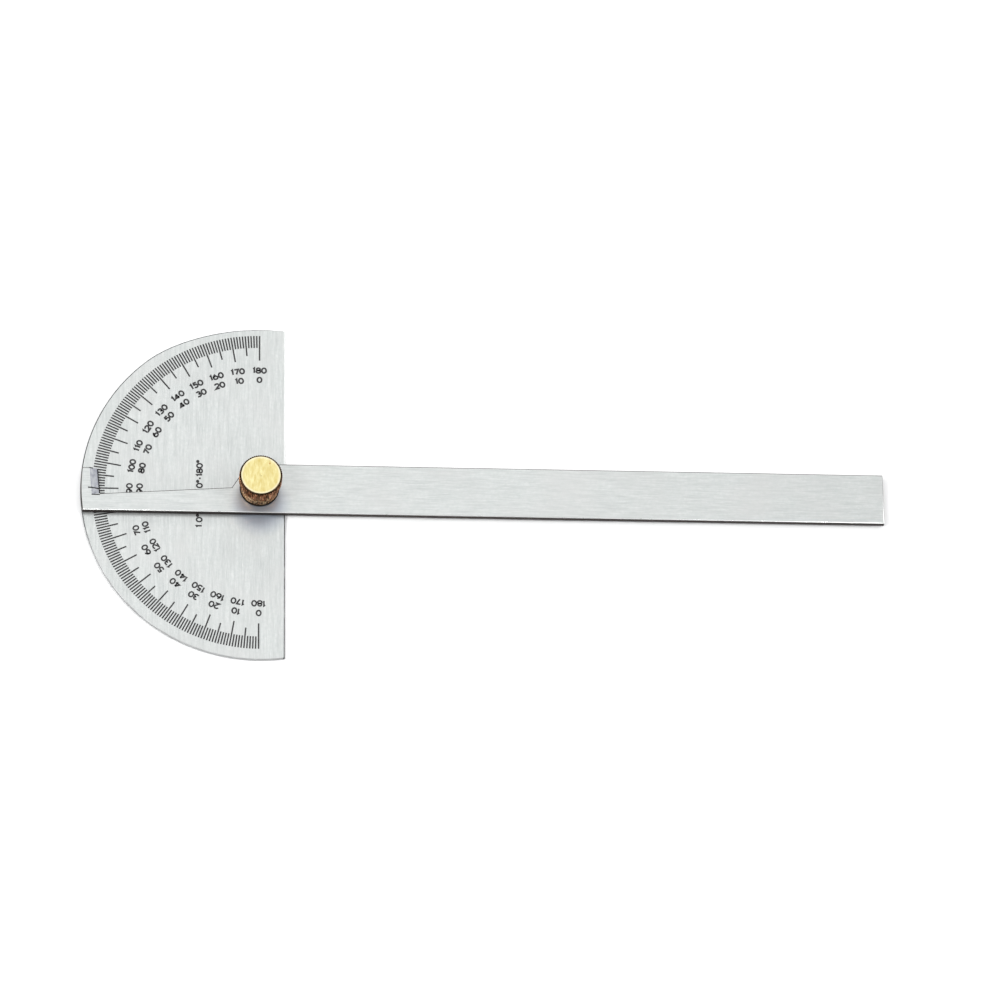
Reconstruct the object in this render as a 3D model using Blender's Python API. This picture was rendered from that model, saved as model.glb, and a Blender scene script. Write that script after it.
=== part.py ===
"""Steel protractor with a half-round head, a swinging arm and a brass clamp knob.

Metres, +Z up. The origin is on the pivot axis, in the plane of the head's underside.
+X runs along the arm to its free end and +Z out of the graduated face.
"""

from math import acos, asin, atan2, cos, pi, radians, sin, sqrt

import bmesh
import bpy
from mathutils import Vector

# Head: a disc about the pivot, flatter at its upper end, cut off by a straight edge just past its centre.
HEAD_RADIUS = 0.0447
FLATTER_ARC_RADIUS = 0.0547
FLATTER_ARC_CENTRE = (0.001, -0.0111)
ARC_BLEND = 0.0005
HEAD_THICKNESS = 0.0010
STRAIGHT_EDGE_X = 0.0065

# Arm: a flat bar, with a narrow pointer bar and an upright flag behind the pivot.
ARM_THICKNESS = 0.0016
ARM_WIDTH = 0.0130
ARM_REACH = 0.1576
POINTER_ROOT = (-0.0069, 0.0001)
SHOULDER_SLOPE = radians(57.5)
TIP_RADIUS = 0.0446
FLAG_INNER_FOOT = (-0.0397, -0.0021)
FLAG_INNER_TOP = (-0.04035, 0.00485)
READING_BEVEL_WIDTH = 0.00215
READING_BEVEL_LAND = 0.0006
READING_BEVEL_FOOT_SLOPE = 0.1

# Stud: a flush conical head, a square neck in the head plate, and a threaded shank.
STUD_HEAD_RADIUS = 0.0036
STUD_HEAD_TOP_RADIUS = 0.0028
STUD_HEAD_HEIGHT = 0.0005
STUD_NECK_SIDE = 0.0044
STUD_SHANK_RADIUS = 0.002
STUD_TOP_Z = 0.0098
STUD_POINT = 0.0004

# Washer and knob.
WASHER_RADIUS = 0.00495
WASHER_HOLE_RADIUS = 0.0022
WASHER_THICKNESS = 0.0004
COLLAR_RADIUS = 0.00475
KNURL_RADIUS = 0.00538
KNURL_DEPTH = 0.00022
KNURL_COUNT = 48
KNURL_HEIGHT = 0.0040
KNOB_TOP_Z = 0.0123
KNOB_CHAMFER = 0.0003
KNOB_CENTRE_RADIUS = 0.0003
KNOB_CENTRE_DEPTH = 0.00015
THREAD_BORE_RADIUS = 0.0021
THREAD_BORE_END_Z = 0.0105
DRILL_POINT = 0.0006

# Clearances: between faces that rest on each other, round the staked stud, and in the arm's bore.
FACE_GAP = 0.0003
STAKED_GAP = 0.0001
BORE_CLEARANCE = 0.00008

ROUND_STEPS = 96
HEAD_ARC_STEPS = 188
TIP_ARC_STEPS = 10
CUT_MARGIN = 0.001
SHARP_ANGLE = radians(30)

ARM_BOTTOM_Z = HEAD_THICKNESS + FACE_GAP
ARM_TOP_Z = ARM_BOTTOM_Z + ARM_THICKNESS
WASHER_BOTTOM_Z = ARM_TOP_Z + FACE_GAP
WASHER_TOP_Z = WASHER_BOTTOM_Z + WASHER_THICKNESS
KNOB_BOTTOM_Z = WASHER_TOP_Z + FACE_GAP


def clear_scene():
    for old in list(bpy.data.objects):
        bpy.data.objects.remove(old)


def metal(name, colour, roughness):
    material = bpy.data.materials.new(name)
    material.use_nodes = True
    shader = material.node_tree.nodes["Principled BSDF"]
    shader.inputs["Base Color"].default_value = (*colour, 1)
    shader.inputs["Metallic"].default_value = 1
    shader.inputs["Roughness"].default_value = roughness
    return material


def solid(name, bm, height, material=None):
    """An object from a mesh made in world coordinates, its origin on the pivot axis at the given height."""
    bmesh.ops.recalc_face_normals(bm, faces=bm.faces)
    bmesh.ops.translate(bm, verts=bm.verts, vec=(0, 0, -height))
    mesh = bpy.data.meshes.new(name)
    bm.to_mesh(mesh)
    bm.free()
    mesh.shade_smooth()
    mesh.set_sharp_from_angle(angle=SHARP_ANGLE)
    piece = bpy.data.objects.new(name, mesh)
    piece.location.z = height
    bpy.context.scene.collection.objects.link(piece)
    if material:
        mesh.materials.append(material)
    return piece


def arc(radius, start, end, steps):
    """Points along an arc about the pivot axis, both ends included."""
    angles = [start + (end - start) * i / steps for i in range(steps + 1)]
    return [(radius * cos(a), radius * sin(a)) for a in angles]


def prism(outline, bottom, top):
    bm = bmesh.new()
    face = bm.faces.new([bm.verts.new((x, y, bottom)) for x, y in outline])
    extruded = bmesh.ops.extrude_face_region(bm, geom=[face])["geom"]
    raised = [item for item in extruded if isinstance(item, bmesh.types.BMVert)]
    bmesh.ops.translate(bm, verts=raised, vec=(0, 0, top - bottom))
    return bm


def turned(levels):
    """A body turned about the pivot axis, through levels of (height, radius).

    A radius is a number, or a function of the angle. The two ends are single points on the axis,
    unless the first level is the same as the last, which makes a ring.
    """
    bm = bmesh.new()
    ring_shaped = levels[0] == levels[-1]
    rings = []
    for height, radius in levels[:-1] if ring_shaped else levels:
        if radius == 0:
            rings.append([bm.verts.new((0, 0, height))])
            continue
        ring = []
        for i in range(ROUND_STEPS):
            angle = 2 * pi * i / ROUND_STEPS
            r = radius(angle) if callable(radius) else radius
            ring.append(bm.verts.new((r * cos(angle), r * sin(angle), height)))
        rings.append(ring)
    pairs = list(zip(rings, rings[1:]))
    if ring_shaped:
        pairs.append((rings[-1], rings[0]))
    for lower, upper in pairs:
        for i in range(ROUND_STEPS):
            corners = [lower[i % len(lower)], lower[(i + 1) % len(lower)]]
            corners += [upper[(i + 1) % len(upper)], upper[i % len(upper)]]
            bm.faces.new(list(dict.fromkeys(corners)))
    return bm


def square(side):
    """The radius of a square of this side, as a function of the angle."""
    return lambda angle: side / 2 / max(abs(cos(angle)), abs(sin(angle)))


def knurled(angle):
    """The radius of the knurl's ridges and grooves, one of each per pitch."""
    step = round(angle * ROUND_STEPS / (2 * pi))
    ridge = step * 2 * KNURL_COUNT // ROUND_STEPS % 2 == 0
    return KNURL_RADIUS if ridge else KNURL_RADIUS - KNURL_DEPTH


def cut(piece, cutter):
    cutter.hide_render = True
    cutter.display_type = "WIRE"
    boolean = piece.modifiers.new(cutter.name, "BOOLEAN")
    boolean.operation = "DIFFERENCE"
    boolean.solver = "EXACT"
    boolean.object = cutter


def blended_minimum(first, second):
    """The smaller of two lengths, rounded off where they are nearly the same."""
    nearness = max(ARC_BLEND - abs(first - second), 0) / ARC_BLEND
    return min(first, second) - nearness ** 2 * ARC_BLEND / 4


def head_outline():
    """The head seen from above, counter-clockwise from the straight edge's upper corner."""
    centre_x, centre_y = FLATTER_ARC_CENTRE
    corner_y = centre_y + sqrt(FLATTER_ARC_RADIUS ** 2 - (STRAIGHT_EDGE_X - centre_x) ** 2)
    start = atan2(corner_y, STRAIGHT_EDGE_X)
    end = 2 * pi - acos(STRAIGHT_EDGE_X / HEAD_RADIUS)
    outline = []
    for i in range(HEAD_ARC_STEPS + 1):
        angle = start + (end - start) * i / HEAD_ARC_STEPS
        ahead = centre_x * cos(angle) + centre_y * sin(angle)
        aside = centre_x * sin(angle) - centre_y * cos(angle)
        reach = blended_minimum(HEAD_RADIUS, ahead + sqrt(FLATTER_ARC_RADIUS ** 2 - aside ** 2))
        outline.append((reach * cos(angle), reach * sin(angle)))
    return outline


def make_head_plate(steel):
    plate = solid("head_plate", prism(head_outline(), 0, HEAD_THICKNESS), 0, steel)
    wall = STUD_HEAD_RADIUS - STUD_HEAD_TOP_RADIUS
    mouth_radius = STUD_HEAD_RADIUS + STAKED_GAP + wall * CUT_MARGIN / STUD_HEAD_HEIGHT
    neck_hole = square(STUD_NECK_SIDE + 2 * STAKED_GAP)
    seat = [
        (-CUT_MARGIN, 0),
        (-CUT_MARGIN, mouth_radius),
        (STUD_HEAD_HEIGHT + STAKED_GAP, STUD_HEAD_TOP_RADIUS + STAKED_GAP),
        (STUD_HEAD_HEIGHT + STAKED_GAP, neck_hole),
        (HEAD_THICKNESS + CUT_MARGIN, neck_hole),
        (HEAD_THICKNESS + CUT_MARGIN, 0),
    ]
    cut(plate, solid("stud_seat_cutter", turned(seat), 0))


def arm_outline():
    """The arm seen from above, counter-clockwise from the free end's lower corner."""
    half = ARM_WIDTH / 2
    root_x, root_y = POINTER_ROOT
    shoulder_x = root_x + (half - root_y) * cos(SHOULDER_SLOPE) / sin(SHOULDER_SLOPE)
    outer_top = pi - asin(FLAG_INNER_TOP[1] / TIP_RADIUS)
    outer_foot = pi + asin(half / TIP_RADIUS)
    outline = [(ARM_REACH, -half), (ARM_REACH, half), (shoulder_x, half)]
    outline += [POINTER_ROOT, FLAG_INNER_FOOT, FLAG_INNER_TOP]
    outline += arc(TIP_RADIUS, outer_top, outer_foot, TIP_ARC_STEPS)
    return outline


def reading_bevel():
    """The wedge ground off the flag along its inner edge, which leans a little."""
    slope = (ARM_THICKNESS - READING_BEVEL_LAND) / READING_BEVEL_WIDTH
    inner_z = ARM_BOTTOM_Z + READING_BEVEL_LAND - slope * CUT_MARGIN
    outer = -READING_BEVEL_WIDTH - CUT_MARGIN / slope
    high_z = ARM_TOP_Z + CUT_MARGIN
    foot = Vector(FLAG_INNER_FOOT)
    along = Vector(FLAG_INNER_TOP) - foot
    top = foot + along * (1 + CUT_MARGIN / along.y)
    bm = bmesh.new()
    ends = []
    for corner, end_slope in ((foot, READING_BEVEL_FOOT_SLOPE), (top, 0)):
        profile = [(CUT_MARGIN, inner_z), (outer, high_z), (CUT_MARGIN, high_z)]
        ends.append([bm.verts.new((corner.x + x, corner.y + x * end_slope, z)) for x, z in profile])
        bm.faces.new(ends[-1])
    for i in range(3):
        bm.faces.new((ends[0][i - 1], ends[0][i], ends[1][i], ends[1][i - 1]))
    return bm


def make_arm(steel):
    outline = arm_outline()
    arm = solid("arm", prism(outline, ARM_BOTTOM_Z, ARM_TOP_Z), ARM_BOTTOM_Z, steel)
    bore_radius = STUD_SHANK_RADIUS + BORE_CLEARANCE
    low, high = ARM_BOTTOM_Z - CUT_MARGIN, ARM_TOP_Z + CUT_MARGIN
    bore = turned([(low, 0), (low, bore_radius), (high, bore_radius), (high, 0)])
    cut(arm, solid("arm_bore_cutter", bore, ARM_BOTTOM_Z))
    cut(arm, solid("reading_bevel_cutter", reading_bevel(), ARM_BOTTOM_Z))


def make_pivot_stud(steel):
    neck = square(STUD_NECK_SIDE)
    neck_top_z = HEAD_THICKNESS - STAKED_GAP
    levels = [
        (0, 0),
        (0, STUD_HEAD_RADIUS),
        (STUD_HEAD_HEIGHT, STUD_HEAD_TOP_RADIUS),
        (STUD_HEAD_HEIGHT, neck),
        (neck_top_z, neck),
        (neck_top_z, STUD_SHANK_RADIUS),
        (STUD_TOP_Z - STUD_POINT, STUD_SHANK_RADIUS),
        (STUD_TOP_Z, STUD_SHANK_RADIUS - STUD_POINT),
        (STUD_TOP_Z, 0),
    ]
    solid("pivot_stud", turned(levels), 0, steel)


def make_knob_washer(steel):
    section = [
        (WASHER_BOTTOM_Z, WASHER_HOLE_RADIUS),
        (WASHER_BOTTOM_Z, WASHER_RADIUS),
        (WASHER_TOP_Z, WASHER_RADIUS),
        (WASHER_TOP_Z, WASHER_HOLE_RADIUS),
        (WASHER_BOTTOM_Z, WASHER_HOLE_RADIUS),
    ]
    solid("knob_washer", turned(section), WASHER_BOTTOM_Z, steel)


def make_clamp_knob(brass):
    knurl_foot_z = KNOB_TOP_Z - KNURL_HEIGHT
    rim_radius = KNURL_RADIUS - KNOB_CHAMFER
    levels = [
        (THREAD_BORE_END_Z + DRILL_POINT, 0),
        (THREAD_BORE_END_Z, THREAD_BORE_RADIUS),
        (KNOB_BOTTOM_Z, THREAD_BORE_RADIUS),
        (KNOB_BOTTOM_Z, COLLAR_RADIUS - KNOB_CHAMFER),
        (KNOB_BOTTOM_Z + KNOB_CHAMFER, COLLAR_RADIUS),
        (knurl_foot_z, COLLAR_RADIUS),
        (knurl_foot_z, rim_radius),
        (knurl_foot_z + KNOB_CHAMFER, knurled),
        (KNOB_TOP_Z - KNOB_CHAMFER, knurled),
        (KNOB_TOP_Z, rim_radius),
        (KNOB_TOP_Z, KNOB_CENTRE_RADIUS),
        (KNOB_TOP_Z - KNOB_CENTRE_DEPTH, 0),
    ]
    solid("clamp_knob", turned(levels), KNOB_BOTTOM_Z, brass)


def main():
    clear_scene()
    make_head_plate(metal("head_steel", (0.68, 0.70, 0.70), 0.38))
    make_arm(metal("arm_steel", (0.70, 0.72, 0.71), 0.34))
    make_pivot_stud(metal("stud_steel", (0.55, 0.55, 0.54), 0.45))
    make_knob_washer(metal("washer_steel", (0.42, 0.41, 0.40), 0.40))
    make_clamp_knob(metal("knob_brass", (0.80, 0.62, 0.28), 0.28))


main()
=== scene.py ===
from math import acos, asin, atan2, ceil, cos, pi, radians, sin, sqrt

import bmesh
import bpy
from mathutils import Matrix, Vector


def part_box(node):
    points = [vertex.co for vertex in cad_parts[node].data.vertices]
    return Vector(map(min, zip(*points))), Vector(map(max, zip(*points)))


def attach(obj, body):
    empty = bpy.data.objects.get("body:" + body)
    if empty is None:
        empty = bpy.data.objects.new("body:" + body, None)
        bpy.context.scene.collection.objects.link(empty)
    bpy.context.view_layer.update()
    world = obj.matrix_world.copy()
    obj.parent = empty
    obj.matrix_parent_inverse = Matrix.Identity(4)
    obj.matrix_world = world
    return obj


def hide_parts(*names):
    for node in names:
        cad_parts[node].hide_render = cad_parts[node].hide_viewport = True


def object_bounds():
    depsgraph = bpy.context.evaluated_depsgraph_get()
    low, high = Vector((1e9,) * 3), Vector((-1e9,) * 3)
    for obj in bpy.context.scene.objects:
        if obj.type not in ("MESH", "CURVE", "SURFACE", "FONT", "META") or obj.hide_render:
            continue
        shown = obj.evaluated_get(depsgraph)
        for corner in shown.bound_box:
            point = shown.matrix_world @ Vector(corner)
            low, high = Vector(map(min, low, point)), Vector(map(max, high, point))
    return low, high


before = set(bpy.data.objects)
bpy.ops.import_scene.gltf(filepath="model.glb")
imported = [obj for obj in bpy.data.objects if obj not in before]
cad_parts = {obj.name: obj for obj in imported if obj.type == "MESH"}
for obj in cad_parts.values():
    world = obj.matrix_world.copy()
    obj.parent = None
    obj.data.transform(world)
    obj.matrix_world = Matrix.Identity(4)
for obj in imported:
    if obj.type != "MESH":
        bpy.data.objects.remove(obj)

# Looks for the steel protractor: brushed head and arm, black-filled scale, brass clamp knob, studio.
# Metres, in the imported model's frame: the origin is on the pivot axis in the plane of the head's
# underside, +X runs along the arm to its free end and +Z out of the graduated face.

CAD_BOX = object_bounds()
MM = 0.001

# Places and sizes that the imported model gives.
HEAD_LOW, HEAD_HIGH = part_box("head_plate")
ARM_LOW, ARM_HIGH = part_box("arm")
_, STUD_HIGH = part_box("pivot_stud")
_, WASHER_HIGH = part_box("knob_washer")
_, KNOB_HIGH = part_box("clamp_knob")
HEAD_RADIUS = -HEAD_LOW.x
HEAD_TOP = HEAD_HIGH.z
STRAIGHT_EDGE_X = HEAD_HIGH.x
ARM_HALF_WIDTH = ARM_HIGH.y
ARM_REACH = ARM_HIGH.x
ARM_TOP = ARM_HIGH.z
TIP_RADIUS = -ARM_LOW.x
STUD_TOP = STUD_HIGH.z
WASHER_RADIUS = WASHER_HIGH.x
KNOB_RADIUS = KNOB_HIGH.x
KNOB_TOP = KNOB_HIGH.z

# Faces that touch in the real tool are drawn this far apart.
TOUCH_GAP = 0.03 * MM
ARM_BOTTOM = HEAD_TOP + TOUCH_GAP
WASHER_THICKNESS = 0.45 * MM
WASHER_BOTTOM = ARM_TOP + TOUCH_GAP
WASHER_TOP = WASHER_BOTTOM + WASHER_THICKNESS
KNOB_BOTTOM = WASHER_TOP + TOUCH_GAP

# Head: a disc about the pivot, flatter at its upper end.
FLATTER_ARC_RADIUS = 54.7 * MM
FLATTER_ARC_CENTRE = (1.0 * MM, -11.1 * MM)
ARC_BLEND = 0.5 * MM
HEAD_RIM = 0.24 * MM
HEAD_ARC_STEPS = 360
STUD_HEAD_RADIUS = 3.6 * MM
STUD_HEAD_TOP_RADIUS = 2.8 * MM
STUD_HEAD_HEIGHT = 0.5 * MM
STUD_NECK_SIDE = 4.4 * MM
STUD_SEAT_GAP = 0.02 * MM

# Arm: a pointer bar and an upright flag behind the pivot.
ARM_RIM = 0.19 * MM
POINTER_ROOT = (-6.9 * MM, 0.1 * MM)
SHOULDER_SLOPE = radians(57.5)
FLAG_INNER_FOOT = (-39.7 * MM, -2.1 * MM)
FLAG_INNER_TOP = (-40.35 * MM, 4.85 * MM)
READING_BEVEL_WIDTH = 2.15 * MM
READING_BEVEL_LAND = 0.9 * MM
READING_BEVEL_FOOT_SLOPE = 0.1
TIP_ARC_STEPS = 24
# A side whose normal is past either of these has painted shade on its upper rim. Elsewhere the rim
# carries a painted highlight.
SHADED_RIM_MIN_Y = 0.3
SHADED_RIM_MAX_X = -0.5

# Stud: plain where the arm turns on it, with an M4 thread above.
SHANK_RADIUS = 1.97 * MM
THREAD_PITCH = 0.7 * MM
THREAD_DEPTH = 0.38 * MM
THREAD_START = ARM_TOP + 0.1 * MM
THREAD_FADE = 0.5 * MM
THREAD_ROWS_PER_PITCH = 10
BORE_RADIUS = 2.08 * MM

# Washer.
WASHER_RIM = 0.12 * MM
WASHER_PLAY = 0.2 * MM

# Knob: a knurled head over a plain collar, with a narrow groove between them.
KNURL_HEIGHT = 4.0 * MM
KNURL_COUNT = 60
KNURL_DEPTH = 0.2 * MM
KNURL_FLANK_SLOPE = 1.6
KNURL_SAMPLES = 8
KNOB_CHAMFER = 0.34 * MM
KNOB_EDGE = 0.15 * MM
COLLAR_RADIUS = 4.75 * MM
COLLAR_GROOVE_DEPTH = 0.12 * MM
COLLAR_GROOVE_HEIGHT = 0.25 * MM
COLLAR_GROOVE_SLOPE_HEIGHT = 0.1 * MM
THREAD_BORE_END = KNOB_TOP - 1.8 * MM
DRILL_POINT = 0.6 * MM
CENTRE_POP_RADIUS = 0.28 * MM
CENTRE_POP_DEPTH = 0.15 * MM

# Scale: angles run from the straight edge's upper end, anticlockwise round the back of the head.
MARK_PROUD = 0.012 * MM
MARK_SUNK = 0.02 * MM
TICK_OUTER = 41.85 * MM
TICK_INNER = {1: 38.6 * MM, 5: 36.45 * MM, 10: 35.15 * MM}
TICK_WIDTH = 0.38 * MM
OUTER_NUMBER_RADIUS = 32.45 * MM
INNER_NUMBER_RADIUS = 29.9 * MM
NUMBER_HEIGHT = 1.75 * MM
NUMBER_STROKE = 0.41 * MM
UPPER_NUMBER_STROKE = 0.445 * MM
# The numbers above the arm, and the one just below it, stand off their marks by these angles.
UPPER_NUMBER_DRIFT = radians(-0.7)
FULL_DRIFT_DEGREE = 30
BELOW_ARM_DEGREE = 100
BELOW_ARM_DRIFT = radians(-1.0)
INDEX_LINE_OUTER = 42.8 * MM
INDEX_LINE_Y = -0.55 * MM
INDEX_LINE_WIDTH = 0.36 * MM
# Dark lines painted as shade along the flag's recess: at its inner edge, its foot and its top.
FLAG_SHADE_LINE_WIDTH = 0.3 * MM
FLAG_SHADE_LINE_INSET = 0.14 * MM
FOOT_SHADE_LINE_OUTER = 41.9 * MM
FOOT_SHADE_LINE_INNER = 39.8 * MM
FOOT_SHADE_LINE_Y = -2.42 * MM
FLAG_TOP_SHADE_LINE_OUTER = 42.5 * MM
FLAG_TOP_SHADE_LINE_INNER = 41.6 * MM
RANGE_MARK_X = -14.95 * MM
RANGE_MARKS = (("0°-180°", 4.2 * MM), ("1.0°", -8.3 * MM))

# How finely the shapes are drawn.
ROUND_STEPS = 128
RIM_STEPS = 4
BOW_STEP = 15
SHARP_ANGLE = radians(30)
LEVEL_NORMAL = 0.9999
CUT_MARGIN = 1 * MM

# Material numbers of the plates, whose two level faces have 0, and of the knob.
PLATE_EDGE, RECESS, HIGHLIGHT_RIM = 1, 2, 3
KNOB_FACE, KNOB_KNURL, KNOB_COLLAR, KNOB_DARK_EDGE = 0, 1, 2, 3

# Looks.
STEEL_TONE = 0.55
# Painted shadow of the knob, bluish, on the head and the arm: its centre and the radii where it fades
# out.
KNOB_SHADOW_PLACE = (0.3 * MM, -4.5 * MM)
KNOB_SHADOW_RADII = (4 * MM, 8 * MM)
# Bands on the head's edge: painted shade at the upper back and low on the straight edge, and a painted
# highlight on the straight edge.
SHADED_BACK_BAND = (22 * MM, 34 * MM)
STRAIGHT_EDGE_BAND = (STRAIGHT_EDGE_X - 0.5 * MM, STRAIGHT_EDGE_X - 0.3 * MM)
STRAIGHT_EDGE_FADE = (2 * MM, -5 * MM)
TURNING_PITCH = 0.16 * MM
# Painted highlight round the rim of the knob's faced top.
FACE_RIM_HIGHLIGHT_BAND = (KNOB_RADIUS - 1.1 * MM, KNOB_RADIUS - 0.7 * MM)
STAIN_PLACE = (2.2 * MM, 3.1 * MM)
STAIN_RADII = (0.12 * MM, 0.32 * MM)
# Browned brass: its light, dark and darkest colours, and the length of its streaks. The knurl and
# collar are also kept darker than the faced top as painted shade, and their light colours stand in part
# for painted highlights.
KNURL_COLOURS = ((1.0, 0.55, 0.34), (0.22, 0.085, 0.045), (0.02, 0.012, 0.01))
COLLAR_COLOURS = ((1.0, 0.76, 0.46), (0.42, 0.18, 0.09), (0.05, 0.025, 0.015))
# A nearly black band over the knob's top chamfer and the outer edge of its face.
DARK_EDGE_COLOURS = ((0.07, 0.04, 0.02), (0.04, 0.022, 0.012), (0.02, 0.012, 0.008))
KNURL_STREAK = 5.0 * MM
COLLAR_STREAK = 0.9 * MM
DARK_EDGE_STREAK = 1.0 * MM
# Colour of the browned brass where it is seen at a flat angle.
EDGE_TINT = (0.95, 0.70, 0.55)
# A mix node's two colour inputs and its colour output.
MIX_FIRST, MIX_SECOND, MIX_RESULT = 6, 7, 2

# Camera, from the head's top face on the pivot axis. Its lens is long, so there is little perspective.
CAMERA_AZIMUTH = radians(-12.894)
CAMERA_ELEVATION = radians(68.984)
CAMERA_ROLL = radians(13.090)
CAMERA_DISTANCE = 1.45214
CAMERA_RIGHT = 60.374 * MM
CAMERA_UP = -2.289 * MM
CAMERA_LENS = 208.608
SENSOR_WIDTH = 36

# Studio. Each light has its place, width, height, radiance and colour.
FLOOR_HALF_SIZE = 6.0
FLOOR_GAP = 0.02 * MM
WORLD_COLOUR = (0.97, 0.985, 1.0)
WORLD_STRENGTH = 0.33
WHITE = (1, 1, 1)
SOFTBOXES = {
    "overhead_softbox": ((-0.05, 0.46, 1.35), 1.1, 0.9, 1.5, WHITE),
    "back_key": ((0.10, 1.45, 0.95), 0.9, 0.4, 4.6, (1.0, 0.985, 0.96)),
    "front_strip": ((-0.05, -1.25, 0.48), 1.6, 0.14, 2.4, WHITE),
    "left_key": ((-0.95, -0.30, 1.35), 0.7, 0.7, 8.0, WHITE),
    "right_fill": ((1.05, -0.15, 1.30), 0.7, 0.7, 6.0, WHITE),
}
# Watts of a square metre of area light for each unit of radiance.
WATTS_PER_RADIANCE = 4


# ---- Shapes ----

def arc(radius, start, end, steps):
    """Points along an arc about the pivot axis, both ends included."""
    angles = [start + (end - start) * i / steps for i in range(steps + 1)]
    return [(radius * cos(a), radius * sin(a)) for a in angles]


def inset(outline, distance):
    """An anticlockwise outline moved inwards by a distance, its corners mitred."""
    points = [Vector(p) for p in outline]
    moved = []
    for i, here in enumerate(points):
        inward = []
        for start, end in ((points[i - 1], here), (here, points[(i + 1) % len(points)])):
            along = (end - start).normalized()
            inward.append(Vector((-along.y, along.x)))
        mitre = (inward[0] + inward[1]) / (1 + inward[0].dot(inward[1]))
        moved.append(here + mitre * distance)
    return moved


def closed_mesh(name, bm):
    """A mesh from a bmesh, which it frees, with its faces pointing out."""
    mesh = bpy.data.meshes.new(name)
    bmesh.ops.recalc_face_normals(bm, faces=bm.faces)
    bm.to_mesh(mesh)
    bm.free()
    return mesh


def piece_from(name, bm, body, materials, cutters=()):
    """A piece of the visual model, in the row frame, that rides a body. Cutters are taken out of it."""
    mesh = closed_mesh(name, bm)
    for material in materials:
        mesh.materials.append(material)
    piece = bpy.data.objects.new(name, mesh)
    bpy.context.scene.collection.objects.link(piece)
    for cutter in cutters:
        carve(piece, cutter)
    shade(piece.data)
    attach(piece, body)
    return piece


def shade(mesh):
    """Smooth shading, with sharp edges, and flat shading on the level faces."""
    mesh.shade_smooth()
    mesh.set_sharp_from_angle(angle=SHARP_ANGLE)
    for face in mesh.polygons:
        face.use_smooth = abs(face.normal.z) < LEVEL_NORMAL


def plate(outline, bottom, top, rim, edge_materials):
    """A flat plate with rounded rims.

    edge_materials gives two material numbers from the way that a side faces: the first for the
    upper rim, and the second for everything below the rim's steepest step.
    """
    turn = [pi / 2 * i / RIM_STEPS for i in range(RIM_STEPS + 1)]
    levels = [(rim * (1 - sin(a)), bottom + rim * (1 - cos(a))) for a in turn]
    levels += [(rim * (1 - cos(a)), top - rim * (1 - sin(a))) for a in turn]
    bm = bmesh.new()
    loops = [[bm.verts.new((*p, z)) for p in inset(outline, inward)] for inward, z in levels]
    bm.faces.new(loops[0])
    bm.faces.new(loops[-1])
    for i in range(len(outline)):
        along = (Vector(outline[i]) - Vector(outline[i - 1])).normalized()
        rim_material, wall_material = edge_materials(Vector((along.y, -along.x)))
        for level, (lower, upper) in enumerate(zip(loops, loops[1:])):
            face = bm.faces.new((lower[i - 1], lower[i], upper[i], upper[i - 1]))
            face.material_index = rim_material if level > RIM_STEPS + 1 else wall_material
    return bm


def turned(levels, steps=ROUND_STEPS, materials=None):
    """A body turned about the pivot axis through levels of (height, radius).

    A radius is a number, or a function of the angle. A first level that is the same as the last
    makes a ring. The faces that start at a level take its material number, if there are any.
    """
    bm = bmesh.new()
    ring_shaped = levels[0] == levels[-1]
    rings = []
    for height, radius in levels[:-1] if ring_shaped else levels:
        if radius == 0:
            rings.append([bm.verts.new((0, 0, height))])
            continue
        angles = [2 * pi * i / steps for i in range(steps)]
        radii = [radius(a) if callable(radius) else radius for a in angles]
        rings.append([bm.verts.new((r * cos(a), r * sin(a), height)) for r, a in zip(radii, angles)])
    pairs = list(zip(rings, rings[1:]))
    if ring_shaped:
        pairs.append((rings[-1], rings[0]))
    for number, (lower, upper) in enumerate(pairs):
        for i in range(steps):
            corners = [lower[i % len(lower)], lower[(i + 1) % len(lower)]]
            corners += [upper[(i + 1) % len(upper)], upper[i % len(upper)]]
            face = bm.faces.new(list(dict.fromkeys(corners)))
            if materials:
                face.material_index = materials[number]
    return bm


def square(side):
    """The radius of a square of this side, as a function of the angle."""
    return lambda angle: side / 2 / max(abs(cos(angle)), abs(sin(angle)))


def carve(piece, cutter_shape):
    """Takes a closed shape out of a piece. The new faces keep that shape's material numbers."""
    cutter = bpy.data.objects.new("cutter", closed_mesh("cutter", cutter_shape))
    for material in piece.data.materials:
        cutter.data.materials.append(material)
    bpy.context.scene.collection.objects.link(cutter)
    boolean = piece.modifiers.new("carve", "BOOLEAN")
    boolean.operation = "DIFFERENCE"
    boolean.solver = "EXACT"
    boolean.object = cutter
    evaluated = piece.evaluated_get(bpy.context.evaluated_depsgraph_get())
    carved = bpy.data.meshes.new_from_object(evaluated)
    piece.modifiers.clear()
    piece.data = carved
    bpy.data.objects.remove(cutter)


def stroke(bm, path, width, surface, closed=False):
    """Adds a mark: a flat bar along a path, a little proud of a surface.

    The surface's height is a function of the point. A closed path makes a ring.
    """
    points = [Vector(p) for p in path]
    ends = points[1:] + points[:1] if closed else points[1:]
    normals = []
    for start, end in zip(points, ends):
        along = (end - start).normalized()
        normals.append(Vector((-along.y, along.x)))
    sections = []
    for i, here in enumerate(points):
        before = normals[i - 1] if closed else normals[max(i - 1, 0)]
        after = normals[min(i, len(normals) - 1)]
        side = (before + after) / (1 + before.dot(after)) * width / 2
        corners = [(here + side, -MARK_SUNK), (here - side, -MARK_SUNK)]
        corners += [(here - side, MARK_PROUD), (here + side, MARK_PROUD)]
        sections.append([bm.verts.new((*p, surface(p) + rise)) for p, rise in corners])
    pairs = list(zip(sections, sections[1:]))
    if closed:
        pairs.append((sections[-1], sections[0]))
    else:
        bm.faces.new(sections[0])
        bm.faces.new(sections[-1][::-1])
    for first, second in pairs:
        for i in range(4):
            bm.faces.new((first[i - 1], first[i], second[i], second[i - 1]))


# ---- Materials ----

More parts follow.
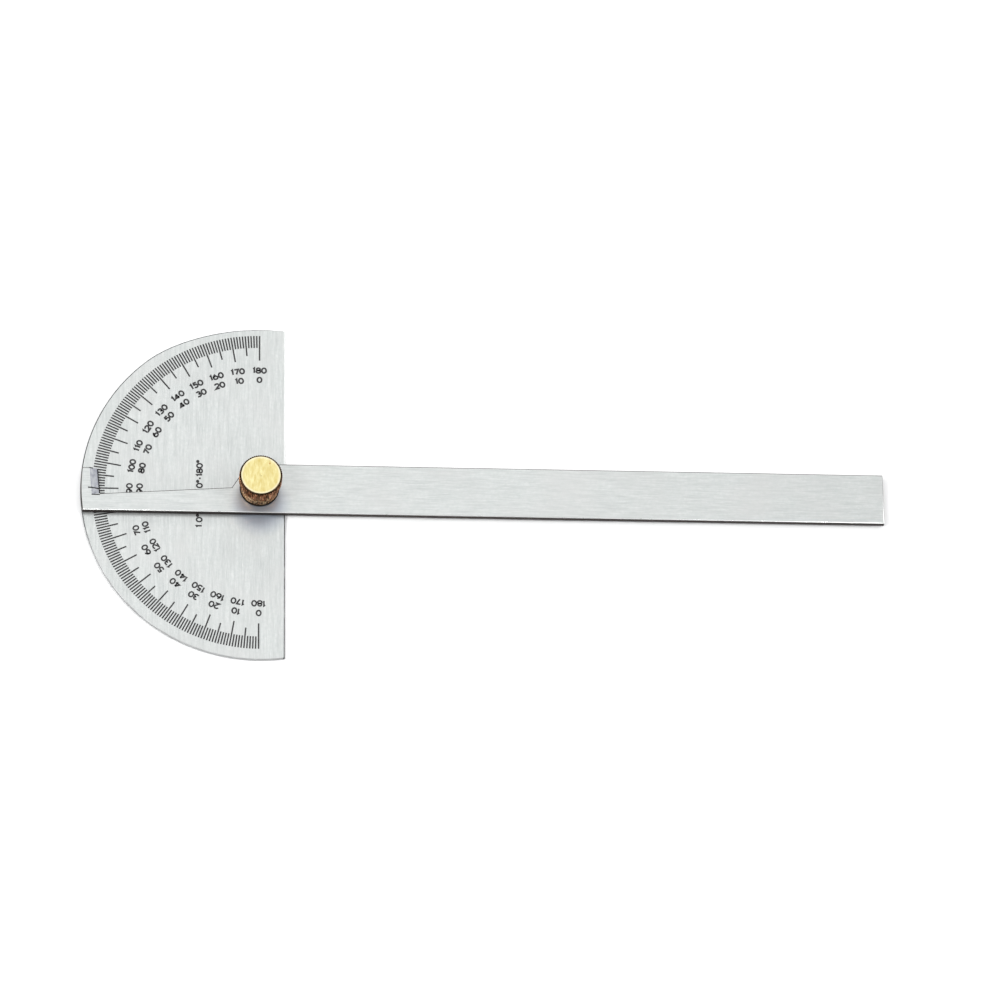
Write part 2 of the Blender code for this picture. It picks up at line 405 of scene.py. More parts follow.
class Finish:
    """A metal or ink, with a Principled shader and procedural detail in the piece's own coordinates."""

    def __init__(self, name, colour, metallic, roughness):
        self.material = bpy.data.materials.new(name)
        self.material.use_nodes = True
        self.tree = self.material.node_tree
        self.shader = self.tree.nodes["Principled BSDF"]
        self.shader.inputs["Metallic"].default_value = metallic
        self.shader.inputs["Roughness"].default_value = roughness
        self.shader.inputs["Base Color"].default_value = (*colour, 1)
        self.place = self.node("ShaderNodeTexCoord").outputs["Object"]

    def node(self, kind, **settings):
        node = self.tree.nodes.new(kind)
        for name, value in settings.items():
            setattr(node, name, value)
        return node

    def link(self, source, target):
        self.tree.links.new(source, target)

    def noise(self, grain, detail=3.0, roughness=0.55, offset=0.0):
        """Noise from 0 to 1 whose grain has these lengths along X, Y and Z."""
        mapping = self.node("ShaderNodeMapping")
        mapping.inputs["Scale"].default_value = [1 / length for length in grain]
        mapping.inputs["Location"].default_value = (offset, offset, offset)
        self.link(self.place, mapping.inputs["Vector"])
        noise = self.node("ShaderNodeTexNoise")
        noise.inputs["Scale"].default_value = 1
        noise.inputs["Detail"].default_value = detail
        noise.inputs["Roughness"].default_value = roughness
        self.link(mapping.outputs["Vector"], noise.inputs["Vector"])
        return noise.outputs["Fac"]

    def ramp(self, value, low, high, to_low=0.0, to_high=1.0):
        """The value mapped linearly from low..high, and clamped to the new ends."""
        node = self.node("ShaderNodeMapRange")
        limits = {"From Min": low, "From Max": high, "To Min": to_low, "To Max": to_high}
        for name, number in limits.items():
            node.inputs[name].default_value = number
        self.link(value, node.inputs["Value"])
        return node.outputs["Result"]

    def math(self, operation, *values):
        node = self.node("ShaderNodeMath", operation=operation)
        for socket, value in zip(node.inputs, values):
            if isinstance(value, (int, float)):
                socket.default_value = value
            else:
                self.link(value, socket)
        return node.outputs["Value"]

    def mix(self, factor, first, second):
        """A colour between two, each a colour or the result of another mix."""
        node = self.node("ShaderNodeMix", data_type="RGBA")
        self.link(factor, node.inputs["Factor"])
        for number, colour in ((MIX_FIRST, first), (MIX_SECOND, second)):
            socket = node.inputs[number]
            if isinstance(colour, tuple):
                socket.default_value = (*colour, 1)
            else:
                self.link(colour, socket)
        return node.outputs[MIX_RESULT]

    def axes(self):
        """The X, Y and Z of the place."""
        node = self.node("ShaderNodeSeparateXYZ")
        self.link(self.place, node.inputs["Vector"])
        return node.outputs

    def distance_from(self, x=0.0, y=0.0):
        """The distance from an upright axis through a point, by default the pivot axis."""
        sides = [self.math("SUBTRACT", side, start) for side, start in zip(self.axes(), (x, y))]
        squares = [self.math("POWER", self.math("ABSOLUTE", side), 2.0) for side in sides]
        return self.math("SQRT", self.math("ADD", *squares))

    def paint(self, colour=None, roughness=None, height=None, relief=0.0, strength=1.0):
        """Gives the shader its colour, its roughness and a bump of this relief in metres."""
        if colour is not None:
            self.link(colour, self.shader.inputs["Base Color"])
        if roughness is not None:
            self.link(roughness, self.shader.inputs["Roughness"])
        if height is not None:
            bump = self.node("ShaderNodeBump")
            bump.inputs["Strength"].default_value = strength
            bump.inputs["Distance"].default_value = relief
            self.link(height, bump.inputs["Height"])
            self.link(bump.outputs["Normal"], self.shader.inputs["Normal"])
        return self.material


def brushed_steel(name, along):
    """Satin sheet, brushed along the X or the Y axis, faintly mottled, with a painted bluish shadow of
    the knob round the pivot.
    """
    def grain(across, length):
        return (length, across, across) if along == "X" else (across, length, across)

    def shade_of(red, green, blue):
        return (red * STEEL_TONE, green * STEEL_TONE, blue * STEEL_TONE)

    steel = Finish(name, shade_of(0.80, 0.825, 0.81), 0.65, 0.36)
    hairlines = steel.noise(grain(0.10 * MM, 3 * MM), detail=3)
    streaks = steel.noise(grain(0.4 * MM, 7 * MM), detail=4, roughness=0.7, offset=3)
    mottle = steel.noise((0.9 * MM, 0.9 * MM, 0.9 * MM), detail=4, roughness=0.7, offset=7)
    clouds = steel.noise((12 * MM, 12 * MM, 12 * MM), detail=3, offset=11)
    scratches = steel.ramp(steel.noise(grain(0.12 * MM, 9 * MM), detail=1, offset=17), 0.70, 0.76)
    knob_shadow = steel.ramp(steel.distance_from(*KNOB_SHADOW_PLACE), *KNOB_SHADOW_RADII, 0.8, 0)
    light, dark = shade_of(0.90, 0.925, 0.91), shade_of(0.63, 0.655, 0.65)
    colour = steel.mix(steel.ramp(streaks, 0.3, 0.7), light, dark)
    colour = steel.mix(steel.ramp(mottle, 0.35, 0.65, 0, 0.6), colour, shade_of(0.64, 0.685, 0.67))
    colour = steel.mix(steel.ramp(hairlines, 0.4, 0.7, 0, 0.5), colour, shade_of(0.98, 1.0, 0.99))
    colour = steel.mix(steel.ramp(clouds, 0.45, 0.75, 0, 0.5), colour, shade_of(0.80, 0.80, 0.79))
    colour = steel.mix(steel.ramp(scratches, 0, 1, 0, 0.35), colour, shade_of(0.9, 0.92, 0.91))
    # Painted shadow: the steel turns bluish round the knob.
    colour = steel.mix(knob_shadow, colour, shade_of(0.50, 0.57, 0.68))
    roughness = steel.ramp(steel.math("ADD", hairlines, streaks), 0.7, 1.3, 0.30, 0.42)
    height = steel.math("ADD", hairlines, steel.math("MULTIPLY", streaks, 0.6))
    height = steel.math("SUBTRACT", height, steel.math("MULTIPLY", scratches, 0.8))
    return steel.paint(colour, roughness, height, relief=0.004 * MM, strength=0.35)


def ground_recess(name):
    """Ground steel of the flag's reading bevel, tinted bluish grey, mottled, with a few dark spots."""
    steel = Finish(name, (0.46, 0.48, 0.54), 1.0, 0.42)
    mottle = steel.noise((1.1 * MM, 1.6 * MM, 1.1 * MM), detail=4, roughness=0.6)
    spots = steel.noise((0.35 * MM, 0.35 * MM, 0.35 * MM), detail=2, offset=9)
    colour = steel.mix(steel.ramp(mottle, 0.35, 0.65), (0.43, 0.445, 0.51), (0.63, 0.645, 0.67))
    colour = steel.mix(steel.ramp(spots, 0.6, 0.75, 0, 0.5), colour, (0.20, 0.20, 0.24))
    return steel.paint(colour, steel.ramp(mottle, 0.3, 0.7, 0.36, 0.48), spots, relief=0.006 * MM)


def polished_rim(name):
    """Rounded upper rim of the bar on its lower side and free end, with a painted highlight: brighter
    and glossier than the other rims, streaked and a little stained.
    """
    light, dark = (0.66, 0.67, 0.66), (0.60, 0.61, 0.60)
    edge = Finish(name, light, 1.0, 0.3)
    streaks = edge.noise((3 * MM, 3 * MM, 0.15 * MM), detail=3)
    specks = edge.noise((0.4 * MM, 0.4 * MM, 0.4 * MM), detail=2, offset=5)
    colour = edge.mix(edge.ramp(streaks, 0.35, 0.65), light, dark)
    colour = edge.mix(edge.ramp(specks, 0.55, 0.75, 0, 0.4), colour, dark)
    shine = edge.ramp(streaks, 0.3, 0.7, 0.24, 0.38)
    return edge.paint(colour, shine, streaks, relief=0.004 * MM, strength=0.3)


def head_edge(name):
    """Edge of the head: a painted highlight on the straight edge, and painted shade, in patches, low on
    it and at the upper back.
    """
    light, dark, painted_highlight = (0.46, 0.47, 0.47), (0.035, 0.04, 0.042), (0.86, 0.88, 0.87)
    edge = Finish(name, light, 0.4, 0.46)
    x, y, _ = edge.axes()
    streaks = edge.noise((3 * MM, 3 * MM, 0.15 * MM), detail=3)
    patches = edge.noise((5 * MM, 5 * MM, 5 * MM), detail=3, offset=5)
    upwards = edge.math("SUBTRACT", edge.math("MULTIPLY", y, 0.6), edge.math("MULTIPLY", x, 0.8))
    upper_back = edge.ramp(upwards, *SHADED_BACK_BAND)
    straight = edge.ramp(x, *STRAIGHT_EDGE_BAND)
    low = edge.math("MULTIPLY", straight, edge.ramp(y, *STRAIGHT_EDGE_FADE))
    patchy = edge.ramp(patches, 0.25, 0.45, 0.6, 1)
    painted_shade = edge.math("MULTIPLY", edge.math("MAXIMUM", upper_back, low), patchy)
    colour = edge.mix(edge.ramp(streaks, 0.35, 0.65), light, (0.32, 0.32, 0.32))
    # Painted highlight on the straight edge, then painted shade, in patches, at the upper back and low
    # on the straight edge.
    colour = edge.mix(straight, colour, painted_highlight)
    colour = edge.mix(painted_shade, colour, dark)
    shine = edge.ramp(streaks, 0.3, 0.7, 0.40, 0.54)
    return edge.paint(colour, shine, streaks, relief=0.004 * MM, strength=0.3)


def dull_edge(name):
    """Dark edge of the bar, streaked along its length, that hardly shines: painted shade on all its
    walls, and on the upper rim on the +Y side and at the flag.
    """
    light, dark = (0.052, 0.041, 0.039), (0.024, 0.019, 0.018)
    edge = Finish(name, light, 0.0, 0.6)
    edge.shader.inputs["Specular IOR Level"].default_value = 0.12
    streaks = edge.noise((4 * MM, 4 * MM, 0.2 * MM), detail=3)
    specks = edge.noise((0.5 * MM, 0.5 * MM, 0.5 * MM), detail=2, offset=5)
    colour = edge.mix(edge.ramp(streaks, 0.35, 0.65), light, dark)
    shine = edge.ramp(specks, 0.3, 0.7, 0.5, 0.7)
    return edge.paint(colour, shine, specks, relief=0.01 * MM, strength=0.4)


def scale_ink(name):
    """Black filling of etched marks, thinner in places."""
    ink = Finish(name, (0.012, 0.011, 0.012), 0.0, 0.5)
    wear = ink.noise((1.6 * MM, 1.6 * MM, 1.6 * MM), detail=4, roughness=0.7)
    grain = ink.noise((0.15 * MM, 0.15 * MM, 0.15 * MM), detail=2, offset=4)
    colour = ink.mix(ink.ramp(wear, 0.5, 0.75, 0, 0.6), (0.008, 0.007, 0.008), (0.07, 0.07, 0.07))
    return ink.paint(colour, ink.ramp(grain, 0.3, 0.7, 0.42, 0.62), grain, relief=0.006 * MM)


def brass_face(name):
    """Faced end of the knob: fine turning rings, a mottled tone, a painted highlight round its rim and
    a small stain.
    """
    light, deep = (0.51, 0.465, 0.245), (0.42, 0.335, 0.115)
    brass = Finish(name, light, 1.0, 0.3)
    radius = brass.distance_from()
    rings = brass.math("SINE", brass.math("MULTIPLY", radius, 2 * pi / TURNING_PITCH))
    mottle = brass.noise((0.7 * MM, 2.4 * MM, 2.4 * MM), detail=5, roughness=0.7)
    stain = brass.ramp(brass.distance_from(*STAIN_PLACE), *STAIN_RADII, 0.85, 0)
    rim = brass.ramp(radius, *FACE_RIM_HIGHLIGHT_BAND)
    colour = brass.mix(brass.ramp(mottle, 0.35, 0.68), light, deep)
    # Painted highlight: a lighter ring round the face's rim.
    colour = brass.mix(brass.ramp(rim, 0, 1, 0, 0.55), colour, (0.56, 0.52, 0.40))
    colour = brass.mix(stain, colour, (0.30, 0.15, 0.05))
    roughness = brass.ramp(mottle, 0.3, 0.7, 0.26, 0.36)
    return brass.paint(colour, roughness, rings, relief=0.002 * MM, strength=0.25)


def brass_side(name, colours, streak_length):
    """Handled brass of the knob's side, browned and also darkened as painted shade, with dark streaks
    of this length along the axis.
    """
    light, dark, darkest = colours
    brass = Finish(name, light, 1.0, 0.34)
    brass.shader.inputs["Specular Tint"].default_value = (*EDGE_TINT, 1)
    tarnish = brass.noise((1.3 * MM, 1.3 * MM, 2.2 * MM), detail=4, roughness=0.7)
    darkening = brass.noise((0.32 * MM, 0.32 * MM, streak_length), detail=3, offset=6)
    colour = brass.mix(brass.ramp(tarnish, 0.42, 0.58), light, dark)
    colour = brass.mix(brass.ramp(darkening, 0.48, 0.56, 0, 0.95), colour, darkest)
    roughness = brass.ramp(tarnish, 0.3, 0.7, 0.28, 0.46)
    return brass.paint(colour, roughness, darkening, relief=0.01 * MM, strength=0.4)


def turned_steel(name, colour):
    """Lathe-turned steel with fine rings along the axis."""
    steel = Finish(name, colour, 1.0, 0.4)
    rings = steel.noise((6 * MM, 6 * MM, 0.06 * MM), detail=2)
    dark = tuple(c * 0.75 for c in colour)
    tone = steel.mix(steel.ramp(rings, 0.35, 0.65), colour, dark)
    return steel.paint(tone, steel.ramp(rings, 0.3, 0.7, 0.33, 0.48), rings, relief=0.004 * MM)


# ---- Pieces ----

def blended_minimum(first, second):
    """The smaller of two lengths, rounded off where they are nearly the same."""
    nearness = max(ARC_BLEND - abs(first - second), 0) / ARC_BLEND
    return min(first, second) - nearness ** 2 * ARC_BLEND / 4


def head_outline():
    """The head seen from above, anticlockwise from the straight edge's upper corner."""
    centre_x, centre_y = FLATTER_ARC_CENTRE
    corner_y = centre_y + sqrt(FLATTER_ARC_RADIUS ** 2 - (STRAIGHT_EDGE_X - centre_x) ** 2)
    start = atan2(corner_y, STRAIGHT_EDGE_X)
    end = 2 * pi - acos(STRAIGHT_EDGE_X / HEAD_RADIUS)
    outline = []
    for i in range(HEAD_ARC_STEPS + 1):
        angle = start + (end - start) * i / HEAD_ARC_STEPS
        ahead = centre_x * cos(angle) + centre_y * sin(angle)
        aside = centre_x * sin(angle) - centre_y * cos(angle)
        reach = blended_minimum(HEAD_RADIUS, ahead + sqrt(FLATTER_ARC_RADIUS ** 2 - aside ** 2))
        outline.append((reach * cos(angle), reach * sin(angle)))
    return outline


def head_edge_materials(facing):
    return PLATE_EDGE, PLATE_EDGE


def make_head(steel, edge):
    shape = plate(head_outline(), HEAD_LOW.z, HEAD_TOP, HEAD_RIM, head_edge_materials)
    slope = (STUD_HEAD_RADIUS - STUD_HEAD_TOP_RADIUS) / STUD_HEAD_HEIGHT
    mouth = STUD_HEAD_RADIUS + STUD_SEAT_GAP + slope * CUT_MARGIN
    neck_hole = square(STUD_NECK_SIDE + 2 * STUD_SEAT_GAP)
    seat = [
        (HEAD_LOW.z - CUT_MARGIN, 0),
        (HEAD_LOW.z - CUT_MARGIN, mouth),
        (HEAD_LOW.z + STUD_HEAD_HEIGHT, STUD_HEAD_TOP_RADIUS + STUD_SEAT_GAP),
        (HEAD_LOW.z + STUD_HEAD_HEIGHT, neck_hole),
        (HEAD_TOP + CUT_MARGIN, neck_hole),
        (HEAD_TOP + CUT_MARGIN, 0),
    ]
    head = piece_from("head_sheet", shape, "head", [steel, edge], [turned(seat)])
    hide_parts("head_plate")


def arm_outline():
    """The arm seen from above, anticlockwise from the free end's lower corner."""
    half = ARM_HALF_WIDTH
    root_x, root_y = POINTER_ROOT
    shoulder_x = root_x + (half - root_y) * cos(SHOULDER_SLOPE) / sin(SHOULDER_SLOPE)
    outer_top = pi - asin(FLAG_INNER_TOP[1] / TIP_RADIUS)
    outer_foot = pi + asin(half / TIP_RADIUS)
    outline = [(ARM_REACH, -half), (ARM_REACH, half), (shoulder_x, half)]
    outline += [POINTER_ROOT, FLAG_INNER_FOOT, FLAG_INNER_TOP]
    outline += arc(TIP_RADIUS, outer_top, outer_foot, TIP_ARC_STEPS)
    return outline


def flag_inner_x(y):
    """The X of the flag's inner edge at a place along the flag."""
    (foot_x, foot_y), (top_x, top_y) = FLAG_INNER_FOOT, FLAG_INNER_TOP
    return foot_x + (top_x - foot_x) * (y - foot_y) / (top_y - foot_y)


def bevel_slope():
    """How much the flag's reading bevel rises for each metre outwards."""
    return (ARM_TOP - ARM_BOTTOM - READING_BEVEL_LAND) / READING_BEVEL_WIDTH


def bevel_height(point):
    """The height of the flag's ground reading bevel at a point."""
    x, y = point
    return min(ARM_TOP, ARM_BOTTOM + READING_BEVEL_LAND + bevel_slope() * (flag_inner_x(y) - x))


def reading_bevel():
    """The wedge ground off the flag along its inner edge, which leans a little."""
    slope = bevel_slope()
    foot_y, top_y = FLAG_INNER_FOOT[1], FLAG_INNER_TOP[1] + CUT_MARGIN
    inner_z = ARM_BOTTOM + READING_BEVEL_LAND - slope * CUT_MARGIN
    outer = -READING_BEVEL_WIDTH - CUT_MARGIN / slope
    high_z = ARM_TOP + CUT_MARGIN
    profile = [(CUT_MARGIN, inner_z), (outer, high_z), (CUT_MARGIN, high_z)]
    bm = bmesh.new()
    ends = []
    for y, end_slope in ((foot_y, READING_BEVEL_FOOT_SLOPE), (top_y, 0)):
        ends.append([bm.verts.new((flag_inner_x(y) + x, y + x * end_slope, z)) for x, z in profile])
        bm.faces.new(ends[-1])
    for i in range(3):
        bm.faces.new((ends[0][i - 1], ends[0][i], ends[1][i], ends[1][i - 1]))
    for face in bm.faces:
        face.material_index = RECESS
    return bm


def arm_edge_materials(facing):
    """Walls have painted shade. The upper rim does too on the +Y side and at the flag, and has a
    painted highlight elsewhere.
    """
    dark = facing.y > SHADED_RIM_MIN_Y or facing.x < SHADED_RIM_MAX_X
    return PLATE_EDGE if dark else HIGHLIGHT_RIM, PLATE_EDGE


def make_arm(steel, edge, recess, highlight_rim):
    shape = plate(arm_outline(), ARM_BOTTOM, ARM_TOP, ARM_RIM, arm_edge_materials)
    low, high = ARM_BOTTOM - CUT_MARGIN, ARM_TOP + CUT_MARGIN
    bore = turned([(low, 0), (low, BORE_RADIUS), (high, BORE_RADIUS), (high, 0)])
    cutters = [bore, reading_bevel()]
    arm = piece_from("arm_bar", shape, "arm", [steel, edge, recess, highlight_rim], cutters)
    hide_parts("arm")


def make_stud(steel):
    """The stud: a flush head, a square neck, a plain shank, and a thread whose two ends fade out."""
    neck = square(STUD_NECK_SIDE)
    levels = [
        (HEAD_LOW.z, 0),
        (HEAD_LOW.z, STUD_HEAD_RADIUS),
        (HEAD_LOW.z + STUD_HEAD_HEIGHT, STUD_HEAD_TOP_RADIUS),
        (HEAD_LOW.z + STUD_HEAD_HEIGHT, neck),
        (HEAD_TOP - TOUCH_GAP, neck),
        (HEAD_TOP - TOUCH_GAP, SHANK_RADIUS),
        (THREAD_START, SHANK_RADIUS),
    ]
    row = THREAD_PITCH / THREAD_ROWS_PER_PITCH
    rows = int((STUD_TOP - THREAD_START) / row)
    for i in range(1, rows + 1):
        levels.append((THREAD_START + i * row, thread_radius(THREAD_START + i * row)))
    levels.append((STUD_TOP, SHANK_RADIUS - THREAD_DEPTH))
    levels.append((STUD_TOP, 0))
    shape = turned(levels)
    stud = piece_from("threaded_stud", shape, "head", [steel])
    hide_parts("pivot_stud")


def thread_radius(height):
    """The radius of a right-hand thread at a height, as a function of the angle."""
    fade = min(1, (height - THREAD_START) / THREAD_FADE, (STUD_TOP - height) / THREAD_FADE)

    def radius(angle):
        phase = (height / THREAD_PITCH - angle / (2 * pi)) % 1
        groove = 1 - abs(2 * phase - 1)
        return SHANK_RADIUS - THREAD_DEPTH * groove * max(fade, 0)

    return radius


def make_washer(steel):
    rim = WASHER_RIM
    hole = SHANK_RADIUS + WASHER_PLAY
    section = [
        (WASHER_BOTTOM, hole + rim),
        (WASHER_BOTTOM, WASHER_RADIUS - rim),
        (WASHER_BOTTOM + rim, WASHER_RADIUS),
        (WASHER_TOP - rim, WASHER_RADIUS),
        (WASHER_TOP, WASHER_RADIUS - rim),
        (WASHER_TOP, hole + rim),
        (WASHER_TOP - rim, hole),
        (WASHER_BOTTOM + rim, hole),
        (WASHER_BOTTOM, hole + rim),
    ]
    washer = piece_from("washer_ring", turned(section), "washer", [steel])
    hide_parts("knob_washer")


def knurl_at(inward):
    """The knurl's radius as a function of the angle, no further out than KNOB_RADIUS - inward."""
    def radius(angle):
        wave = abs(2 * ((angle * KNURL_COUNT / (2 * pi)) % 1) - 1)
        crest = min(1, KNURL_FLANK_SLOPE * wave)
        return min(KNOB_RADIUS - KNURL_DEPTH * (1 - crest), KNOB_RADIUS - inward)

    return radius


def make_knob(face, knurl, collar, darkening):
    """The knob, from its blind bore round its collar, knurl and upper edge to its faced top."""
    knurl_foot = KNOB_TOP - KNURL_HEIGHT
    groove = COLLAR_RADIUS - COLLAR_GROOVE_DEPTH
    collar_top = knurl_foot - COLLAR_GROOVE_HEIGHT
    collar_levels = [
        (THREAD_BORE_END + DRILL_POINT, 0),
        (THREAD_BORE_END, BORE_RADIUS),
        (KNOB_BOTTOM, BORE_RADIUS),
        (KNOB_BOTTOM, COLLAR_RADIUS - KNOB_CHAMFER),
        (KNOB_BOTTOM + KNOB_CHAMFER, COLLAR_RADIUS),
        (collar_top, COLLAR_RADIUS),
        (collar_top + COLLAR_GROOVE_SLOPE_HEIGHT, groove),
        (knurl_foot, groove),
    ]
    knurl_levels = [
        (knurl_foot, KNOB_RADIUS - KNOB_CHAMFER),
        (knurl_foot + KNOB_CHAMFER / 2, knurl_at(KNOB_CHAMFER / 2)),
        (knurl_foot + KNOB_CHAMFER, knurl_at(0)),
    ]
    edge_levels = [
        (KNOB_TOP - KNOB_CHAMFER, knurl_at(0)),
        (KNOB_TOP - KNOB_CHAMFER / 2, knurl_at(KNOB_CHAMFER / 2)),
        (KNOB_TOP - KNOB_EDGE / 2, KNOB_RADIUS - KNOB_CHAMFER),
    ]
    face_levels = [
        (KNOB_TOP, KNOB_RADIUS - KNOB_CHAMFER - KNOB_EDGE),
        (KNOB_TOP, CENTRE_POP_RADIUS),
        (KNOB_TOP - CENTRE_POP_DEPTH, 0),
    ]
    levels = collar_levels + knurl_levels + edge_levels + face_levels
    materials = [KNOB_COLLAR] * len(collar_levels) + [KNOB_KNURL] * len(knurl_levels)
    materials += [KNOB_DARK_EDGE] * len(edge_levels) + [KNOB_FACE] * len(face_levels)
    shape = turned(levels, KNURL_COUNT * KNURL_SAMPLES, materials)
    knob = piece_from("brass_knob", shape, "knob", [face, knurl, collar, darkening])
    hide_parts("clamp_knob")


# ---- Marks ----

def head_surface(point):
    return HEAD_TOP


def arm_surface(point):
    return ARM_TOP


def make_ticks(ink):
    bm = bmesh.new()
    for degree in range(181):
        step = 10 if degree % 10 == 0 else 5 if degree % 5 == 0 else 1
        turn = Matrix.Rotation(radians(degree), 2)
        path = [turn @ Vector((0, TICK_INNER[step])), turn @ Vector((0, TICK_OUTER))]
        stroke(bm, path, TICK_WIDTH, head_surface)
    piece_from("degree_marks", bm, "head", [ink])


def bow(centre_x, centre_y, radius_x, radius_y, start=0, end=360):
    """Points along an elliptical arc between two angles in degrees. A full turn is left open."""
    steps = ceil(abs(end - start) / BOW_STEP)
    count = steps if abs(end - start) == 360 else steps + 1
    angles = [radians(start + (end - start) * i / steps) for i in range(count)]
    return [(centre_x + radius_x * cos(a), centre_y + radius_y * sin(a)) for a in angles]


# Each figure's width with its space, and the centre lines of its strokes: 1 high, about x = 0.
FIGURES = {
    "0": (0.82, [bow(0, 0.5, 0.31, 0.5)]),
    "1": (0.5, [[(-0.12, 0.82), (0.07, 1), (0.07, 0)]]),
    "2": (0.78, [bow(0, 0.7, 0.28, 0.3, 165, -38) + [(-0.27, 0), (0.3, 0)]]),
    "3": (0.76, [bow(-0.02, 0.76, 0.25, 0.24, 150, -95), bow(-0.02, 0.26, 0.29, 0.26, 98, -150)]),
    "4": (0.82, [[(0.12, 0), (0.12, 1)], [(0.1, 1), (-0.31, 0.27), (0.33, 0.27)]]),
    "5": (0.78, [[(0.26, 1), (-0.17, 1), (-0.21, 0.5)], bow(-0.01, 0.31, 0.29, 0.31, 138, -150)]),
    "6": (0.82, [bow(0, 0.31, 0.3, 0.31), bow(0.22, 0.31, 0.52, 0.69, 180, 105)]),
    "7": (0.76, [[(-0.28, 1), (0.28, 1), (-0.08, 0)]]),
    "8": (0.8, [bow(0, 0.755, 0.25, 0.245), bow(0, 0.26, 0.3, 0.26)]),
    "9": (0.82, [bow(0, 0.69, 0.3, 0.31), bow(-0.22, 0.69, 0.52, 0.69, 0, -75)]),
    "°": (0.46, [bow(0, 0.83, 0.13, 0.16)]),
    "-": (0.46, [[(-0.14, 0.42), (0.14, 0.42)]]),
    ".": (0.34, [[(0, 0), (0, 0.06)]]),
}


def stamp(bm, text, place, turn, width=NUMBER_STROKE):
    """Adds figures centred on a place on the head's top face, and then turned about the pivot."""
    middle = sum(FIGURES[character][0] for character in text) / 2
    start = 0
    for character in text:
        advance, paths = FIGURES[character]
        for path in paths:
            points = []
            for x, y in path:
                across = (start + advance / 2 - middle + x) * NUMBER_HEIGHT
                up = (y - 0.5) * (NUMBER_HEIGHT - width)
                points.append(turn @ (Vector(place) + Vector((across, up))))
            gap = (points[0] - points[-1]).length
            closed = len(path) > 2 and gap < NUMBER_STROKE
            stroke(bm, points, width, head_surface, closed)
        start += advance


def number_drift(degree):
    """The angle by which a number stands off its own mark."""
    if degree < 90:
        return UPPER_NUMBER_DRIFT * min(1, degree / FULL_DRIFT_DEGREE)
    return BELOW_ARM_DRIFT if degree == BELOW_ARM_DEGREE else 0


def make_numbers(ink):
    bm = bmesh.new()
    for degree in range(0, 181, 10):
        turn = Matrix.Rotation(radians(degree) + number_drift(degree), 2)
        width = UPPER_NUMBER_STROKE if degree < 90 else NUMBER_STROKE
        stamp(bm, str(180 - degree), (0, OUTER_NUMBER_RADIUS), turn, width)
        stamp(bm, str(degree), (0, INNER_NUMBER_RADIUS), turn, width)
    piece_from("degree_numbers", bm, "head", [ink])


def make_range_mark(ink):
    """The scale's range and its step, reading upwards."""
    bm = bmesh.new()
    turn = Matrix.Rotation(radians(90), 2)
    for text, y in RANGE_MARKS:
        stamp(bm, text, (y, -RANGE_MARK_X), turn)
    piece_from("range_mark", bm, "head", [ink])


def make_flag_marks(ink):
    """The index line that reads the scale, and dark lines painted as shade round the flag's ground
    recess.
    """
    bm = bmesh.new()
    inner_x = flag_inner_x(INDEX_LINE_Y)
    bends = (-INDEX_LINE_OUTER, inner_x - READING_BEVEL_WIDTH, inner_x)
    stroke(bm, [(x, INDEX_LINE_Y) for x in bends], INDEX_LINE_WIDTH, bevel_height)
    low, high = FLAG_INNER_FOOT[1] + FLAG_SHADE_LINE_INSET, FLAG_INNER_TOP[1] - FLAG_SHADE_LINE_INSET
    foot = (flag_inner_x(low) - FLAG_SHADE_LINE_INSET, low)
    top = (flag_inner_x(high) - FLAG_SHADE_LINE_INSET, high)
    # Painted shade along the recess's inner edge, its foot and its top.
    stroke(bm, [top, foot], FLAG_SHADE_LINE_WIDTH, bevel_height)
    foot_shade_line = [(-FOOT_SHADE_LINE_OUTER, FOOT_SHADE_LINE_Y), (-FOOT_SHADE_LINE_INNER, FOOT_SHADE_LINE_Y)]
    stroke(bm, foot_shade_line, FLAG_SHADE_LINE_WIDTH, arm_surface)
    top_shade_line = [(-FLAG_TOP_SHADE_LINE_OUTER, high), (-FLAG_TOP_SHADE_LINE_INNER, high)]
    stroke(bm, top_shade_line, FLAG_SHADE_LINE_WIDTH, bevel_height)
    piece_from("flag_index_and_shade_lines", bm, "arm", [ink])


# ---- Studio ----

def softbox(name, target, place, width, height, radiance, colour):
    """A rectangular light at a place, facing a target."""
    light = bpy.data.lights.new(name, "AREA")
    light.shape = "RECTANGLE"
    light.size, light.size_y = width, height
    light.energy = WATTS_PER_RADIANCE * width * height * radiance
    light.color = colour
    lamp = bpy.data.objects.new(name, light)
    lamp.location = place
    lamp.rotation_euler = (Vector(place) - Vector(target)).to_track_quat("Z", "Y").to_euler()
    bpy.context.scene.collection.objects.link(lamp)


def make_studio():
    world = bpy.data.worlds.new("studio")
    world.use_nodes = True
    background = world.node_tree.nodes["Background"]
    background.inputs["Color"].default_value = (*WORLD_COLOUR, 1)
    background.inputs["Strength"].default_value = WORLD_STRENGTH
    bpy.context.scene.world = world
    middle = ((ARM_LOW.x + ARM_HIGH.x) / 2, 0, 0)
    for name, settings in SOFTBOXES.items():
        softbox(name, middle, *settings)
    bpy.context.scene.view_settings.view_transform = "Standard"


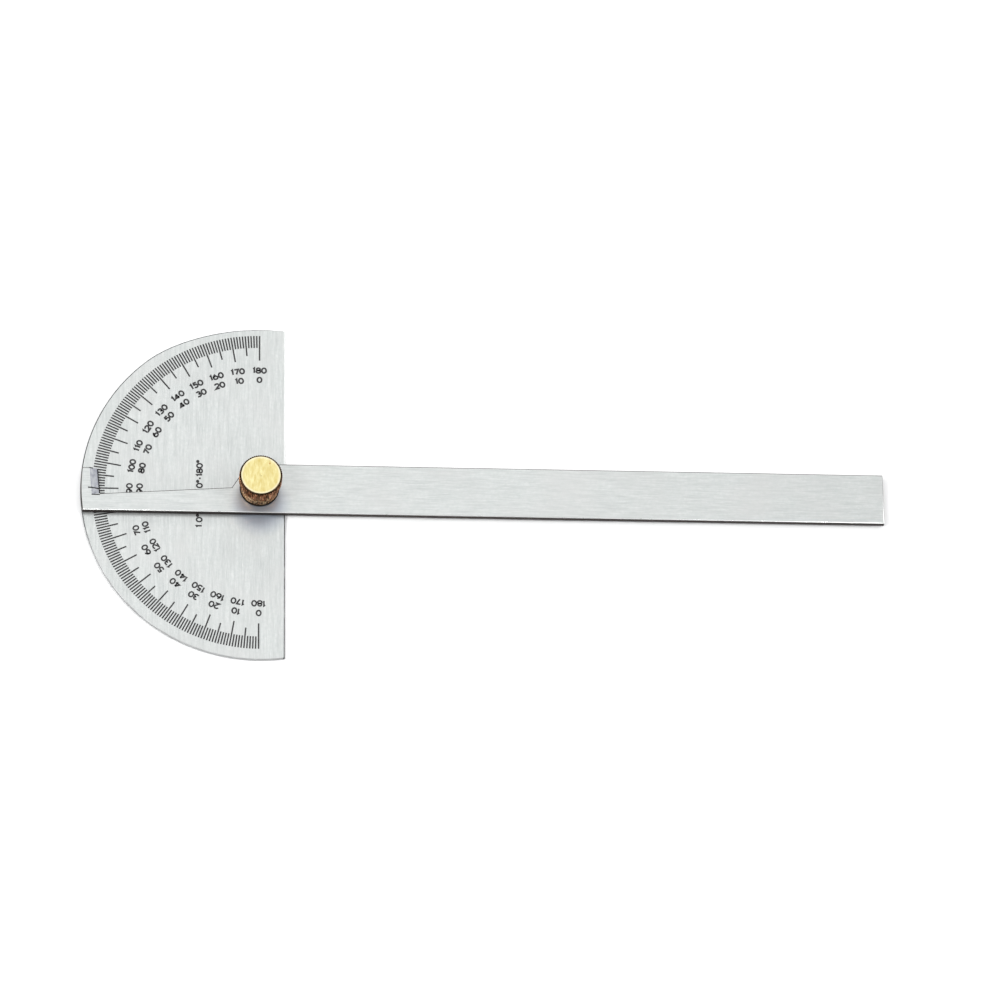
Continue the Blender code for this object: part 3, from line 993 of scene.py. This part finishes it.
def make_floor():
    """A plain pale floor just under the object."""
    size, height = FLOOR_HALF_SIZE, CAD_BOX[0].z - FLOOR_GAP
    bm = bmesh.new()
    corners = [(-size, -size), (size, -size), (size, size), (-size, size)]
    bm.faces.new([bm.verts.new((x, y, height)) for x, y in corners])
    mesh = bpy.data.meshes.new("floor")
    bm.to_mesh(mesh)
    bm.free()
    paper = Finish("floor_paper", (0.93, 0.93, 0.93), 0.0, 0.85)
    grain = paper.noise((4 * MM, 4 * MM, 4 * MM), detail=3)
    mesh.materials.append(paper.paint(height=grain, relief=0.05 * MM, strength=0.05))
    floor = bpy.data.objects.new("floor", mesh)
    bpy.context.scene.collection.objects.link(floor)


def make_camera():
    azimuth, elevation, roll = CAMERA_AZIMUTH, CAMERA_ELEVATION, CAMERA_ROLL
    back = Vector((sin(azimuth) * cos(elevation), -cos(azimuth) * cos(elevation), sin(elevation)))
    level_right = Vector((cos(azimuth), sin(azimuth), 0))
    level_up = back.cross(level_right)
    right = level_right * cos(roll) + level_up * sin(roll)
    up = level_up * cos(roll) - level_right * sin(roll)
    place = Vector((0, 0, HEAD_TOP)) + back * CAMERA_DISTANCE + right * CAMERA_RIGHT + up * CAMERA_UP
    camera_data = bpy.data.cameras.new("camera")
    camera_data.lens = CAMERA_LENS
    camera_data.sensor_width = SENSOR_WIDTH
    camera = bpy.data.objects.new("camera", camera_data)
    turn = Matrix((right, up, back)).transposed().to_4x4()
    camera.matrix_world = Matrix.Translation(place) @ turn
    bpy.context.scene.collection.objects.link(camera)
    bpy.context.scene.camera = camera


def main():
    make_camera()
    make_floor()
    make_studio()
    make_head(brushed_steel("head_brushed", "Y"), head_edge("head_edge"))
    make_arm(
        brushed_steel("arm_brushed", "X"),
        dull_edge("arm_edge"),
        ground_recess("flag_recess"),
        polished_rim("arm_edge_painted_highlight"),
    )
    make_stud(turned_steel("stud_turned", (0.5, 0.5, 0.49)))
    make_washer(turned_steel("washer_dark", (0.045, 0.035, 0.03)))
    make_knob(
        brass_face("brass_faced"),
        brass_side("brass_knurled", KNURL_COLOURS, KNURL_STREAK),
        brass_side("brass_collar", COLLAR_COLOURS, COLLAR_STREAK),
        brass_side("brass_dark_edge", DARK_EDGE_COLOURS, DARK_EDGE_STREAK),
    )
    ink = scale_ink("scale_black")
    make_ticks(ink)
    make_numbers(ink)
    make_range_mark(ink)
    make_flag_marks(ink)


main()
